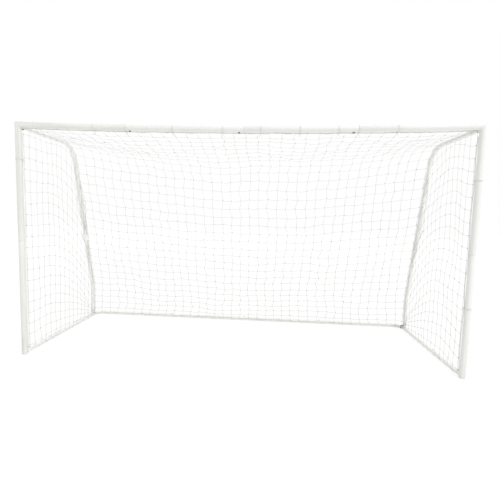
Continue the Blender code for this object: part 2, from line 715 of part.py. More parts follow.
def build_net():
    """The top and back of the net in halves, and its sides, each with its edges along the ropes and bars."""
    columns = round(POST_X / NET_PITCH)
    rows = round(TOP_BAR_HEIGHT / NET_PITCH)
    top_rows = round(TOP_DEPTH / NET_PITCH)
    side_columns = round((TOP_DEPTH + BASE_DEPTH) / 2 / NET_PITCH)

    top_edges, back_edges = [], []
    for label, side in SIDES.items():
        path = rear_path(side, NET_INSET, NET_FOOT_HEIGHT)
        bend, end = bend_distance(path), path_lengths(path)[-1]
        offset = post_rope_offset(side)
        offset *= 1 + TIED_NET_OFFSET / offset.length
        offset.x = -side * max(abs(offset.x), NET_INSET)
        foot = Vector((side * POST_X + offset.x, FRONT_Y + offset.y, NET_FOOT_HEIGHT))
        head = Vector((foot.x, foot.y, TOP_BAR_HEIGHT - FRONT_RADIUS))
        top, stanchion = along_path(path, FRONT_RADIUS, bend), along_path(path, end, bend)
        surface = patch(straight(foot, stanchion(0)), top, straight(foot, head), stanchion)
        net_panel(f"net_{label}", surface, side_columns, rows)
        beside = [point - Vector((side * PANEL_GAP, 0, 0)) for point in path]
        back_edges.append(along_path(beside, end, bend))
        top_edges.append(along_path([point + UP * PANEL_GAP for point in beside], FRONT_RADIUS, bend))

    inset = NET_INSET + PANEL_GAP
    corner, front_end = back_edges[1](1), POST_X - inset
    ground = ground_path(inset, NET_FOOT_HEIGHT)
    start = back_edges[0](0).y - ground[0].y
    low = along_path(ground, start, path_lengths(ground)[-1] - start)
    top = patch(head_edge(front_end), free_edge(corner, PANEL_GAP), *top_edges)
    back = patch(low, free_edge(corner, 0.0), *back_edges)
    seam = (TWINE_RADIUS + FIT_GAP / 2) / (2 * front_end)
    for label, start, end in (("left", 0.0, 0.5 - seam), ("right", 0.5 + seam, 1.0)):
        net_panel(f"net_top_{label}", top, columns, top_rows, start, end)
        net_panel(f"net_back_{label}", back, columns, rows, start, end)


build_bolts({**build_front_frame(), **build_rear_frame()})
build_ropes()
build_ties()
build_net()
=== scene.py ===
import math

import bpy
import numpy as np
from mathutils import Matrix, Vector


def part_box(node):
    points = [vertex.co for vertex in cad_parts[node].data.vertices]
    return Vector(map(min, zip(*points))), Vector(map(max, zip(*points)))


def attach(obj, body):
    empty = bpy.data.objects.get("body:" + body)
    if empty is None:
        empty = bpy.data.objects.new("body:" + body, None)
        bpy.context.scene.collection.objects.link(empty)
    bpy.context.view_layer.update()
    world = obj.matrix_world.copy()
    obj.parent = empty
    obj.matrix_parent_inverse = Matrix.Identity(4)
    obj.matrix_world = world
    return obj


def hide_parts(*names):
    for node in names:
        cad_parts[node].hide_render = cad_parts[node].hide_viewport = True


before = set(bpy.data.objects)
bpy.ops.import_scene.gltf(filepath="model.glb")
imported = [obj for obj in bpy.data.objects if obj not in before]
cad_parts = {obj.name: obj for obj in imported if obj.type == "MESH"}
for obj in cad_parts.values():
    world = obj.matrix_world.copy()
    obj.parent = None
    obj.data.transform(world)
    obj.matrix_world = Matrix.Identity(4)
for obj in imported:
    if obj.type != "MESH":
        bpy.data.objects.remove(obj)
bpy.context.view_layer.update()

RANDOM = np.random.default_rng(11)

# The frame's lines, the same as in the CAD
FRONT_Y = (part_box("left_foot_cap")[0].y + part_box("left_foot_cap")[1].y) / 2
POST_X = 1.855
REAR_Y = FRONT_Y + 1.400
TOP_Y = FRONT_Y + 0.874
FOOT_Y = REAR_Y - 0.110
CORNER_HEIGHT, CROSSBAR_SAG = 1.975, 0.030
TOP_BAR_HEIGHT = 1.967
TOP_BEND, FOOT_BEND, GROUND_BEND = 0.236, 0.300, 0.090
FOOT_BEND_HEIGHT = 0.388
FRONT_RADIUS, REAR_RADIUS = 0.025, 0.019
BOLT_HEAD_HEIGHT = 0.0055

# Radii of the net's twines and of the cords
TWINE, SIDE_TWINE, KNOT_TWINE, MARGIN = 0.0015, 0.0011, 0.0018, 0.0019
ROPE, LACE, TIE, TIE_TAIL, BINDING = 0.0031, 0.0010, 0.0014, 0.0011, 0.0014

# How far net and ropes lie inside the tubes' centre lines, and round which angle the head rope hangs
NET_INSET = 0.0262
REAR_NET_INSET = NET_INSET + 0.0053
GROUND_INSET, GROUND_LIFT = 0.0207, 0.0281
HEAD_ANGLE = math.radians(-68)

# Cells of the net, and points that each stretch of twine has between two knots
REAR_COLUMNS, TOP_ROWS, BACK_ROWS = 37, 9, 21
SIDE_COLUMNS, SIDE_ROWS = 18, 21
STEPS = 5

# Middle of the rear net: depth behind the crossbar, height and radius of its upper and its lower bend, and
# how far its top hangs down
FOLD, FOLD_RADIUS = (0.830, 1.745), 0.42
SLACK, SLACK_RADIUS = (1.035, 0.980), 1.2
TOP_SAG = 0.015

# Steepest slope of the side nets' rows
STEEPEST = 1.65

# Lacing: length of a turn on the upper tubes and on the others, and the distances down each top bar and
# stanchion between which the upper lacing lies and from which the lower one does, the sleeve left free
UPPER_PITCH, LOWER_PITCH = 0.100, 0.120
UPPER_LACING, LOWER_LACING = (0.05, 1.72), 1.98

# Ties: places along the crossbar, then the side and height of those on the posts
CROSSBAR_TIES = (-1.20, -0.925, -0.54, -0.13, 0.17, 0.48, 0.78, 0.935, 1.23)
POST_TIES = ((-1, 1.69), (1, 1.57), (1, 0.57))

# Camera, worked out from the lines of the frame in the photograph
CAMERA_PLACE = Vector((0.2584, FRONT_Y - 3.0506, 1.2563))
CAMERA_TURN = (math.radians(-4.7115), math.radians(5.4341), math.radians(1.8367))
FOCAL_PIXELS, CENTRE_PIXEL, IMAGE_PIXELS = 374.0, (238.1, 252.65), 500.0

BLACK, WHITE = (0, 0, 0), (1, 1, 1)


class Shading:
    """Builds a node material step by step."""

    def __init__(self, name):
        self.material = bpy.data.materials.new(name)
        self.material.use_nodes = True
        self.tree = self.material.node_tree
        self.shader = self.tree.nodes["Principled BSDF"]

    def node(self, kind, inputs=None, **settings):
        """A new node. inputs holds a value or a linked output for each input that it names."""
        made = self.tree.nodes.new(kind)
        for key, value in settings.items():
            setattr(made, key, value)
        for key, value in (inputs or {}).items():
            if isinstance(value, bpy.types.NodeSocket):
                self.tree.links.new(value, made.inputs[key])
            else:
                made.inputs[key].default_value = value
        return made

    def link(self, output, key):
        self.tree.links.new(output, self.shader.inputs[key])

    def place(self):
        """Place on the goal in metres: the pieces' origins all lie at the world's."""
        return self.node("ShaderNodeTexCoord").outputs["Object"]

    def noise(self, vector, scale, detail=3.0, roughness=0.5):
        inputs = {"Vector": vector, "Scale": scale, "Detail": detail, "Roughness": roughness}
        return self.node("ShaderNodeTexNoise", inputs).outputs["Fac"]

    def ramp(self, value, stops):
        """Colours at places from 0 to 1 along a value."""
        made = self.node("ShaderNodeValToRGB", {0: value})
        elements = made.color_ramp.elements
        while len(elements) < len(stops):
            elements.new(0.5)
        for element, (place, colour) in zip(elements, stops):
            element.position = place
            element.color = (*colour, 1) if len(colour) == 3 else colour
        return made.outputs["Color"]

    def by_height(self, place, start, end, low, high):
        """A value that goes from low at height start to high at height end."""
        height = self.node("ShaderNodeSeparateXYZ", {0: place}).outputs["Z"]
        inputs = {"Value": height, "From Min": start, "From Max": end, "To Min": low, "To Max": high}
        return self.node("ShaderNodeMapRange", inputs).outputs["Result"]

    def scale(self, value, low, high):
        """A value from 0 to 1 spread from low to high."""
        inputs = {"Value": value, "To Min": low, "To Max": high}
        return self.node("ShaderNodeMapRange", inputs).outputs["Result"]

    def mix(self, share, a, b, blend="MIX"):
        made = self.node("ShaderNodeMix", data_type="RGBA", blend_type=blend)
        for key, value in ((0, share), (6, a), (7, b)):
            if isinstance(value, bpy.types.NodeSocket):
                self.tree.links.new(value, made.inputs[key])
            elif isinstance(value, tuple):
                made.inputs[key].default_value = (*value, 1)
            else:
                made.inputs[key].default_value = value
        return made.outputs[2]

    def bump(self, height, strength, distance, under=None):
        """Relief from a height, laid on another relief where one is given."""
        inputs = {"Height": height, "Strength": strength, "Distance": distance}
        if under:
            inputs["Normal"] = under
        return self.node("ShaderNodeBump", inputs).outputs["Normal"]


def unit(vector):
    return vector / np.linalg.norm(vector)


def rounded(corners, radii, step=0.12):
    """Points of straight runs through corners, joined by arcs."""
    corners = [np.array(corner, float) for corner in corners]
    points = [corners[0]]
    for before, corner, after, radius in zip(corners, corners[1:], corners[2:], radii):
        into, out = unit(corner - before), unit(after - corner)
        turn = math.acos(float(np.clip(into @ out, -1, 1)))
        inward = np.cross(unit(np.cross(into, out)), into)
        start = corner - into * radius * math.tan(turn / 2)
        for share in np.linspace(0, turn, max(3, round(turn / step) + 1)):
            points.append(start + radius * (into * math.sin(share) + inward * (1 - math.cos(share))))
    points.append(corners[-1])
    return np.array(points)


def distances(points):
    """Distance along a path to each of its points."""
    return np.concatenate([[0], np.cumsum(np.linalg.norm(np.diff(points, axis=0), axis=1))])


def along(points, where):
    """Points of a path at distances along it."""
    lengths = distances(points)
    return np.stack([np.interp(where, lengths, points[:, axis]) for axis in range(3)], -1)


def even(points, spacing):
    """A path's points spaced evenly."""
    total = distances(points)[-1]
    return along(points, np.linspace(0, total, max(2, round(total / spacing) + 1)))


def wander(count, reach, amount):
    """Smooth random offsets for a row of points: a new value every reach points, eased between."""
    knots = RANDOM.normal(0, amount, (max(2, math.ceil(count / reach) + 2), 3))
    where = np.arange(count) / reach
    low = where.astype(int)
    share = where - low
    share = (share * share * (3 - 2 * share))[:, None]
    return knots[low] * (1 - share) + knots[low + 1] * share


def crossbar(x):
    """Height of the crossbar's centre line at x."""
    return CORNER_HEIGHT - CROSSBAR_SAG * (1 - (x / POST_X) ** 2)


def rear_line(side, inset=0.0, foot=0.038):
    """Centre line of a top bar and its stanchion, from the front post down."""
    x = side * (POST_X - inset)
    corners = (
        (x, FRONT_Y + FRONT_RADIUS, TOP_BAR_HEIGHT),
        (x, TOP_Y, TOP_BAR_HEIGHT),
        (x, FOOT_Y, FOOT_BEND_HEIGHT),
        (x, FOOT_Y, foot),
    )
    return rounded(corners, (TOP_BEND, FOOT_BEND))


def ground_line(inset=0.0, height=REAR_RADIUS):
    """Centre line of the ground bars, from the left post round to the right one."""
    x, y, front = POST_X - inset, REAR_Y - inset, FRONT_Y + FRONT_RADIUS
    corners = ((-x, front, height), (-x, y, height), (x, y, height), (x, front, height))
    return rounded(corners, (GROUND_BEND - inset, GROUND_BEND - inset))


class Cords:
    """Round cords gathered into one mesh, with the length and the turn of each in its UV map."""

    def __init__(self):
        self.verts, self.faces, self.uvs, self.count = [], [], [], 0

    def add(self, points, radius, sides=6, closed=False):
        """A cord along points, with one radius or one for each point."""
        points = np.asarray(points, float)
        rings = len(points)
        if closed:
            tangents = np.roll(points, -1, 0) - np.roll(points, 1, 0)
        else:
            tangents = np.gradient(points, axis=0)
        tangents /= np.linalg.norm(tangents, axis=1)[:, None] + 1e-12
        normal = np.cross(tangents[0], (0.31, 0.52, 0.79))
        normals = [unit(normal)]
        for tangent in tangents[1:]:
            normal = normals[-1] - tangent * (normals[-1] @ tangent)
            normals.append(normal / (np.linalg.norm(normal) + 1e-12))
        normals = np.array(normals)
        sideways = np.cross(tangents, normals)
        radius = np.broadcast_to(np.asarray(radius, float), rings)[:, None, None]
        turns = np.arange(sides) * 2 * math.pi / sides
        ring = normals[:, None] * np.cos(turns)[:, None] + sideways[:, None] * np.sin(turns)[:, None]
        self.verts.append((points[:, None] + ring * radius).reshape(-1, 3))
        lengths = distances(points)
        first = self.count
        for i in range(rings if closed else rings - 1):
            j = (i + 1) % rings
            v0, v1 = lengths[i], lengths[i + 1] if i + 1 < rings else lengths[-1] + 0.004
            for k in range(sides):
                m = (k + 1) % sides
                self.faces.append((first + i * sides + k, first + i * sides + m,
                                   first + j * sides + m, first + j * sides + k))
                self.uvs += [(k / sides, v0), ((k + 1) / sides, v0), ((k + 1) / sides, v1), (k / sides, v1)]
        if not closed:
            for ring_number, order in ((0, -1), (rings - 1, 1)):
                self.faces.append([first + ring_number * sides + k for k in range(sides)][::order])
                self.uvs += [(0.5, lengths[ring_number])] * sides
        self.count += rings * sides

    def stamp(self, shape, place, turn, size=1.0):
        """A copy of another set of cords, turned and scaled, at a place."""
        verts = np.concatenate(shape.verts) @ (turn.T * size) + place
        self.verts.append(verts)
        self.faces += [[corner + self.count for corner in face] for face in shape.faces]
        self.uvs += shape.uvs
        self.count += len(verts)

    def build(self, name, material, slot, *nodes):
        """The visible piece, in place of the CAD nodes that it stands for."""
        mesh = bpy.data.meshes.new(name)
        mesh.from_pydata(np.concatenate(self.verts).tolist(), [], self.faces)
        layer = mesh.uv_layers.new(name="UVMap")
        layer.data.foreach_set("uv", np.array(self.uvs, np.float32).ravel())
        mesh.shade_smooth()
        return add_piece(name, mesh, material, slot, *nodes)


def add_piece(name, mesh, material, slot, *nodes):
    """A visible piece on the goal, in place of the CAD nodes that it stands for."""
    item = bpy.data.objects.new(name, mesh)
    mesh.materials.append(material)
    bpy.context.scene.collection.objects.link(item)
    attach(item, "root")
    if nodes:
        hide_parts(*nodes)
    return item


def smooth_node(item, material, chamfer=0.0):
    """Gives a carried-over CAD node soft shading on its round faces, chamfered edges and its finish."""
    mesh = item.data
    with bpy.context.temp_override(object=item, active_object=item):
        bpy.ops.mesh.customdata_custom_splitnormals_clear()
    mesh.shade_smooth()
    mesh.edges.foreach_set("use_edge_sharp", np.zeros(len(mesh.edges), bool))
    weld = item.modifiers.new("weld", "WELD")
    weld.merge_threshold = 0.00002
    if chamfer:
        bevel = item.modifiers.new("chamfer", "BEVEL")
        bevel.width = chamfer
        bevel.segments = 2
        bevel.limit_method = "ANGLE"
        bevel.angle_limit = math.radians(50)
    split = item.modifiers.new("split", "EDGE_SPLIT")
    split.split_angle = math.radians(40)
    mesh.materials.clear()
    mesh.materials.append(material)


def paint_material(name, tones, grime_low):
    """White powder coat: faint orange peel, grime that gathers toward the ground, scuffs and chips."""
    s = Shading(name)
    place = s.place()
    broad = s.noise(place, 2.2, 4, 0.6)
    colour = s.ramp(broad, tuple(zip((0.30, 0.55, 0.80), tones)))
    streaks = s.node("ShaderNodeMapping", {"Vector": place, "Scale": (60, 60, 5)}).outputs[0]
    grime = s.ramp(s.noise(streaks, 1.0, 5, 0.65), ((0.45, BLACK), (0.75, WHITE)))
    low = s.by_height(place, 0.0, 0.5, grime_low, 0.10)
    dirt = s.node("ShaderNodeMath", {0: s.scale(grime, 0, 1), 1: low}, operation="MULTIPLY").outputs[0]
    colour = s.mix(dirt, colour, (0.50, 0.49, 0.42))
    chips = s.ramp(s.noise(place, 95, 4, 0.7), ((0.735, BLACK), (0.755, WHITE)))
    colour = s.mix(chips, colour, (0.42, 0.41, 0.39))
    s.link(colour, "Base Color")
    s.link(s.scale(s.noise(place, 14, 5, 0.6), 0.46, 0.66), "Roughness")
    peel = s.bump(s.noise(place, 420, 2), 0.12, 0.0006)
    s.link(s.bump(chips, 0.35, 0.0004, peel), "Normal")
    s.shader.inputs["Specular IOR Level"].default_value = 0.28
    return s.material


def steel_material(name, zinc, corroded):
    """Dull zinc, corroded in places."""
    s = Shading(name)
    place = s.place()
    rust = s.ramp(s.noise(place, 190, 5, 0.7), ((0.48, BLACK), (0.66, WHITE)))
    colour = s.mix(rust, zinc, corroded)
    s.link(colour, "Base Color")
    s.link(s.scale(rust, 0.38, 0.85), "Roughness")
    s.link(s.scale(rust, 0.9, 0.15), "Metallic")
    s.link(s.bump(s.noise(place, 900, 3), 0.25, 0.0004), "Normal")
    return s.material


def plastic_material(name, light, dark, scale):
    """Moulded plastic with a fine grain, stained in places."""
    s = Shading(name)
    place = s.place()
    s.link(s.ramp(s.noise(place, scale, 4, 0.6), ((0.35, dark), (0.65, light))), "Base Color")
    s.link(s.scale(s.noise(place, scale * 4, 3), 0.42, 0.66), "Roughness")
    s.link(s.bump(s.noise(place, 1500, 2), 0.15, 0.0003), "Normal")
    return s.material


def cord_material(name, light, dark, strands, pitch, braided=False, tone_steps=(0.32, 0.68), low_darkening=0.0):
    """Twisted or braided fibre, with its lay from the cord's own length and turn.

    It is dark where noise lies below the first of its two steps, and light above the second. The share
    given for the ground is how much dull grey it takes on there, darker towards the bottom.
    """
    s = Shading(name)
    uv = s.node("ShaderNodeUVMap", uv_map="UVMap").outputs[0]
    split = s.node("ShaderNodeSeparateXYZ", {0: uv})
    around = s.node("ShaderNodeMath", {0: split.outputs[0], 1: 2 * math.pi * strands}, operation="MULTIPLY")
    length = s.node("ShaderNodeMath", {0: split.outputs[1], 1: 2 * math.pi / pitch}, operation="MULTIPLY")
    waves = []
    for operation in ("ADD", "SUBTRACT") if braided else ("ADD",):
        phase = s.node("ShaderNodeMath", {0: length.outputs[0], 1: around.outputs[0]}, operation=operation)
        waves.append(s.node("ShaderNodeMath", {0: phase.outputs[0]}, operation="SINE").outputs[0])
    lay = waves[0]
    if braided:
        lay = s.node("ShaderNodeMath", {0: waves[0], 1: waves[1]}, operation="MAXIMUM").outputs[0]
    lay = s.node("ShaderNodeMapRange", {"Value": lay, "From Min": -1.0, "From Max": 1.0}).outputs[0]
    place = s.place()
    colour = s.ramp(s.noise(place, 9, 5, 0.65), tuple(zip(tone_steps, (dark, light))))
    # Darker grey towards the ground, by the share given for it.
    colour = s.mix(s.by_height(place, 0.2, 1.9, low_darkening, 0.0), colour, (0.42, 0.42, 0.40))
    # The grooves between the strands are darkened in colour: painted shade.
    groove_shade = s.mix(1.0, colour, (0.80, 0.79, 0.76), "MULTIPLY")
    s.link(s.mix(lay, groove_shade, colour), "Base Color")
    s.link(s.scale(s.noise(place, 60, 3), 0.72, 0.92), "Roughness")
    fuzz = s.bump(s.noise(place, 2600, 2), 0.3, 0.0002)
    s.link(s.bump(lay, 0.8, 0.0007, fuzz), "Normal")
    s.shader.inputs["Sheen Weight"].default_value = 0.15
    s.shader.inputs["Specular IOR Level"].default_value = 0.25
    return s.material


PAINT = paint_material(
    "white_paint", ((0.80, 0.815, 0.785), (0.835, 0.845, 0.83), (0.865, 0.87, 0.87)), 0.50
)
# A darker copy of the front paint for the left post and corner: painted shade.
SHADED_LEFT_PAINT = paint_material(
    "left_paint_painted_shade", ((0.74, 0.755, 0.72), (0.785, 0.795, 0.76), (0.83, 0.835, 0.81)), 0.55
)
# A whiter copy of the same paint for the rear frame, with less grime low down: painted light.
LIT_REAR_PAINT = paint_material(
    "rear_paint_painted_light", ((0.92, 0.92, 0.895), (0.94, 0.94, 0.925), (0.955, 0.955, 0.95)), 0.10
)
STEEL = steel_material("bolt_steel", (0.20, 0.195, 0.185), (0.115, 0.062, 0.035))
BRIGHT_STEEL = steel_material("bright_steel", (0.74, 0.74, 0.73), (0.62, 0.61, 0.57))
CAP = plastic_material("cap_plastic", (0.80, 0.79, 0.70), (0.66, 0.64, 0.54), 40)
SLEEVE = plastic_material("sleeve_plastic", (0.92, 0.92, 0.93), (0.84, 0.84, 0.85), 25)
TAPE = plastic_material("white_tape", (0.95, 0.95, 0.97), (0.90, 0.90, 0.92), 60)
NETTING = cord_material("net_twine", (0.94, 0.94, 0.94), (0.84, 0.84, 0.83), 3, 0.011, low_darkening=0.42)
# The knots' twine: a darker copy of the net's twine with near-black patches, painted shade in the knots.
SHADED_KNOTTING = cord_material(
    "knot_twine_painted_shade", (0.76, 0.76, 0.74), (0.10, 0.10, 0.10), 3, 0.011, tone_steps=(0.33, 0.45), low_darkening=0.45
)
LACING = cord_material("lacing_twine", (0.94, 0.94, 0.93), (0.84, 0.84, 0.81), 3, 0.009)
TYING = cord_material("tie_cord", (0.95, 0.95, 0.94), (0.88, 0.88, 0.86), 4, 0.010, True)
DARK_CORD = cord_material("dark_cord", (0.035, 0.035, 0.035), (0.02, 0.02, 0.02), 3, 0.012)
# Soiled rope fibre, darker than the other ropes partly as painted shade, for the head rope under the
# crossbar.
DIRTY_SHADED_CORDING = cord_material("rope_fibre_dirt_and_painted_shade", (0.82, 0.82, 0.78), (0.62, 0.61, 0.55), 4, 0.020, True)


def bolt_finish(name):
    """Dark zinc on the front frame and at the left top bar, bright zinc elsewhere."""
    dark = any(word in name for word in ("crossbar", "post", "left_top"))
    return STEEL if dark else BRIGHT_STEEL


def tube_finish(name):
    """The front frame's paint, with a darker copy on the left post and corner as painted shade, and a
    whiter copy on the rear frame as painted light.
    """
    if name in ("left_corner", "left_post"):
        return SHADED_LEFT_PAINT
    # The rear frame's tubes take the whiter copy of the paint: painted light.
    return PAINT if any(word in name for word in ("crossbar", "post", "right_corner")) else LIT_REAR_PAINT


def finish_frame():
    """Materials and soft shading for the frame's own CAD nodes."""
    for name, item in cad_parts.items():
        if "bolt" in name:
            smooth_node(item, bolt_finish(name), chamfer=0.0008)
        elif "cap" in name:
            smooth_node(item, CAP, chamfer=0.0004)
        elif "sleeve" in name:
            smooth_node(item, SLEEVE)
        elif not any(word in name for word in ("net", "rope", "tie")):
            smooth_node(item, tube_finish(name))


def knot_shape():
    """A small tight knot of twine in the line of a trefoil."""
    shape = Cords()
    turn = np.arange(14) * 2 * math.pi / 14
    x = np.sin(turn) + 2 * np.sin(2 * turn)
    y = np.cos(turn) - 2 * np.cos(2 * turn)
    z = -np.sin(3 * turn) * 1.3
    shape.add(np.stack([x, y, z], 1) * 0.00105, KNOT_TWINE * 0.95, 5, closed=True)
    return shape


KNOT = knot_shape()


def spline(points, sag, sway, normal):
    """A smooth line through knots. Each stretch bows down by sag and sideways by sway."""
    points = np.asarray(points, float)
    ahead = np.concatenate([points[1:], points[-1:] * 2 - points[-2:-1]])
    behind = np.concatenate([points[:1] * 2 - points[1:2], points[:-1]])
    slope = (ahead - behind) / 2 * 0.6
    share = (np.arange(STEPS) / STEPS)[None, :, None]
    a, b = points[:-1, None], points[1:, None]
    slope_a, slope_b = slope[:-1, None], slope[1:, None]
    cubic = (
        a * (2 * share**3 - 3 * share**2 + 1)
        + slope_a * (share**3 - 2 * share**2 + share)
        + b * (3 * share**2 - 2 * share**3)
        + slope_b * (share**3 - share**2)
    )
    bow = 4 * share * (1 - share)
    count = len(points) - 1
    drop = sag * np.abs(RANDOM.normal(1, 0.35, (count, 1, 1)))
    side = RANDOM.normal(0, sway, (count, 1, 1))
    cubic = cubic - bow * drop * np.array([0, 0, 1.0]) + bow * side * normal
    return np.concatenate([cubic.reshape(-1, 3), points[-1:]])


def runs(inside):
    """Start and end of each unbroken run of inside places."""
    found, start = [], None
    for number, flag in enumerate([*inside, False]):
        if flag and start is None:
            start = number
        if not flag and start is not None:
            found.append((start, number))
            start = None
    return found


def weave(knots, normal, cords, tied, twine, row_sag, column_sway, inside=None, edge=None, first_row=0):
    """Twines along the rows and columns of a grid of knots, and a knot at each crossing.

    inside tells which knots lie within the net's outline, if not all do. edge then gives the place where a
    stretch that leaves the net ends, from its last inner and first outer knot.
    """
    columns, rows = knots.shape[:2]
    if inside is None:
        inside = np.ones((columns, rows), bool)

    def line(places, flags, sag, sway):
        for start, end in runs(flags):
            points = list(places[start:end])
            if edge is not None:
                if start > 0:
                    points.insert(0, edge(places[start], places[start - 1]))
                if end < len(places):
                    points.append(edge(places[end - 1], places[end]))
            if len(points) > 1:
                cords.add(spline(points, sag, sway, normal), twine)

    for j in range(first_row, rows):
        line(knots[:, j], inside[:, j], row_sag, 0.002)
    for i in range(columns):
        line(knots[i], inside[i], 0.0, column_sway)
    for i in range(columns):
        for j in range(first_row, rows):
            if inside[i, j]:
                spin = RANDOM.uniform(0, 2 * math.pi)
                across = unit(np.cross(normal, (math.cos(spin), 0.3, math.sin(spin))))
                turn = np.stack([across, np.cross(normal, across), normal], 1)
                tied.stamp(KNOT, knots[i, j], turn, RANDOM.uniform(0.85, 1.15))


def smooth_noise(shape, amount, cells=2.5):
    """A smooth random field over a grid, of about the given size."""
    coarse = RANDOM.normal(0, amount, [math.ceil(n / cells) + 2 for n in shape] + [3])
    x, y = (np.arange(n) / cells for n in shape)
    i, j = x.astype(int), y.astype(int)
    s, t = (x - i)[:, None, None], (y - j)[None, :, None]
    s, t = s * s * (3 - 2 * s), t * t * (3 - 2 * t)
    return (
        coarse[i][:, j] * (1 - s) * (1 - t)
        + coarse[i + 1][:, j] * s * (1 - t)
        + coarse[i][:, j + 1] * (1 - s) * t
        + coarse[i + 1][:, j + 1] * s * t
    )


def rear_net_grid():
    """Knots of the one sheet that makes the top and the back: columns by rows.

    Each column lies between the line along the rear frame, at the sides, and the slacker line that the
    middle hangs in. Its ends are then drawn to the crossbar's rope and to the ground bars. The terms in
    share times (1 - share) space the rows unevenly, as they lie in the photograph.
    """
    u = np.linspace(0, 1, REAR_COLUMNS + 1)
    share = np.linspace(0, 1, TOP_ROWS + BACK_ROWS + 1)
    line = rear_line(1, REAR_NET_INSET, GROUND_LIFT)
    ground = ground_line(REAR_NET_INSET, GROUND_LIFT)
    reach = FRONT_RADIUS + 0.0036
    head_y, head_drop = FRONT_Y + math.cos(HEAD_ANGLE) * reach, math.sin(HEAD_ANGLE) * reach
    middle = rounded((
        (0, head_y, crossbar(0) + head_drop),
        (0, FRONT_Y + FOLD[0], FOLD[1]),
        (0, FRONT_Y + SLACK[0], SLACK[1]),
        (0, REAR_Y - REAR_NET_INSET, GROUND_LIFT),
    ), (FOLD_RADIUS, SLACK_RADIUS))
    side_rows = along(line, distances(line)[-1] * share + share * (1 - share) * (0.06 + 0.60 * share))
    middle_rows = along(middle, distances(middle)[-1] * share + share * (1 - share) * (0.89 * share - 0.03))
    middle_rows[:, 2] -= TOP_SAG * np.sin(np.clip(share / 0.30, 0, 1) * math.pi)
    hang = (4 * u * (1 - u))[:, None, None]
    knots = side_rows[None] * (1 - hang) + middle_rows[None] * hang
    knots[..., 0] = (POST_X - REAR_NET_INSET) * (2 * u - 1)[:, None]

    x = knots[:, 0, 0]
    head = np.stack([x, head_y + 0 * x, crossbar(x) + head_drop], -1)
    start = FOOT_Y - ground[0, 1]
    foot = along(ground, start + (distances(ground)[-1] - 2 * start) * u)
    near_head = np.clip(1 - share / 0.25, 0, 1)[None, :, None]
    near_foot = np.clip(1 - (1 - share) / 0.20, 0, 1)[None, :, None]
    knots = knots + (head - knots[:, 0])[:, None] * near_head**2
    return knots + (foot - knots[:, -1])[:, None] * near_foot**2


def from_edge(count):
    """0 at both ends of a row of places and 1 from its third place on."""
    places = np.arange(count)
    return np.clip(np.minimum(places, count - 1 - places) / 2.0, 0, 1)


def build_rear_net():
    """The top and the back, hung from the crossbar and laced to the rear frame."""
    knots = rear_net_grid()
    columns, rows = knots.shape[:2]
    drift, jitter, sway = 0.012, 0.0040, 0.0055
    noise = smooth_noise((columns, rows), drift, 4.0) + RANDOM.normal(0, jitter, knots.shape)
    zigzag = sway * (-1.0) ** np.arange(rows)
    noise[..., 0] += zigzag[None, :] * RANDOM.uniform(0.2, 1.6, (columns, 1))
    knots = knots + noise * (from_edge(columns)[:, None] * from_edge(rows)[None, :])[..., None]
    for name, first, last, first_row, twine, normal in (
        ("top", 0, TOP_ROWS + 1, 0, SIDE_TWINE, (0, 0.35, 0.94)),
        ("back", TOP_ROWS, rows, 1, TWINE, (0, 0.95, 0.31)),
    ):
        cords, tied = Cords(), Cords()
        weave(
            knots[:, first:last], np.array(normal), cords, tied, twine,
            row_sag=0.005, column_sway=0.003, first_row=first_row,
        )
        cords.build(f"netting_{name}", NETTING, "net_twine", f"net_{name}_left", f"net_{name}_right")
        tied.build(f"knots_{name}", SHADED_KNOTTING, "net_twine")


def side_net_grid(side):
    """Knots of one side: columns near upright, rows that droop toward the stanchion and meet at its foot.

    A row runs straight from the post to the depth begin and sinks from there by steep times a power of what
    lies beyond, up to a slope of STEEPEST. The left side's rows differ from each other and the right side's
    are alike, as in the photograph.
    """
    first, spacing = (0.099, 0.084) if side < 0 else (0.110, 0.082)
    columns = np.concatenate([[0.030], first + spacing * np.arange(SIDE_COLUMNS)])
    y, j = np.meshgrid(columns, np.arange(-1, SIDE_ROWS), indexing="ij")
    if side < 0:
        begin = np.interp(j, (0, 1, 5, 9, 19), (0.51, 0.47, 0.35, 0.27, 0.245))
        steep = np.interp(j, (0, 1, 5, 9, 13, 19), (1.65, 1.65, 0.98, 0.675, 0.575, 0.51))
        power = np.interp(j, (0, 1, 5, 9, 19), (2.3, 2.3, 2.2, 2.1, 2.0))
    else:
        begin, steep, power = 0.411, 0.76, 1.82
    most = (STEEPEST / (steep * power)) ** (1 / (power - 1))

    def level(depth):
        """Height of each row before it droops, at a depth."""
        if side < 0:
            return 1.902 - 0.0963 * j + 0.013 * depth
        rise = 0.055 * (1 - np.clip((0.411 - depth) / 0.330, 0, 1) ** 2)
        return 1.940 - 0.0992 * j + 0.018 * depth + rise

    def droop(depth):
        """How far each row has sunk at a depth."""
        beyond = np.clip(depth - begin, 0, None)
        return steep * np.minimum(beyond, most) ** power + STEEPEST * np.clip(beyond - most, 0, None)

    foot = FOOT_Y - FRONT_Y - 0.012
    z = level(y) - droop(y) * np.clip((level(foot) - 0.045) / droop(foot), 0, 1)
    y = y + 0.018 * np.sin(np.clip(1 - z / 1.93, 0, 1) * math.pi) * np.clip(y / 0.5, 0, 1)
    x = side * (POST_X - NET_INSET) + 0 * y
    return np.stack([x, y + FRONT_Y, z], -1)


